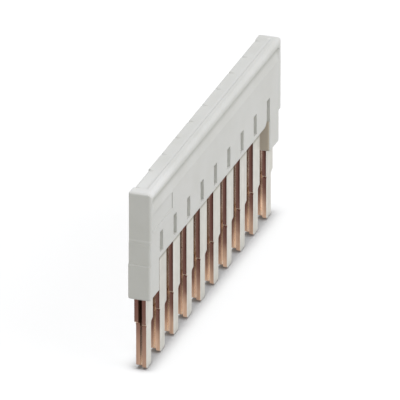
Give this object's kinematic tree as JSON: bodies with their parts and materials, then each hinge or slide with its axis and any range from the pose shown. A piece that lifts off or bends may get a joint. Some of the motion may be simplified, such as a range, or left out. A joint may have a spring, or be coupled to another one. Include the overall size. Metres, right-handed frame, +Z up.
{
  "type": "terminal block jumper bar",
  "caption": "Plug-in jumper bar: a thin grey plastic housing with end flaps, holding a folded tinned copper comb whose spring prongs bridge neighbouring terminal blocks.",
  "frame": {"origin": "middle of the bounding box in X and Y, at the level of the prong tips", "axes": "+X along the row, from the plain near end to the overhanging far end; +Y away from the slotted front face; +Z up, out of the terminal blocks"},
  "size_m": [0.051, 0.003, 0.0245],
  "materials": {
    "tinned_copper": "tin-plated copper strip, satin, with bare copper at the stamped edges",
    "housing_plastic": "fine matt moulded polyamide, pale grey"
  },
  "bodies": {
    "root": {"contact_comb": "tinned_copper", "insulating_housing": "housing_plastic"}
  },
  "joints": []
}
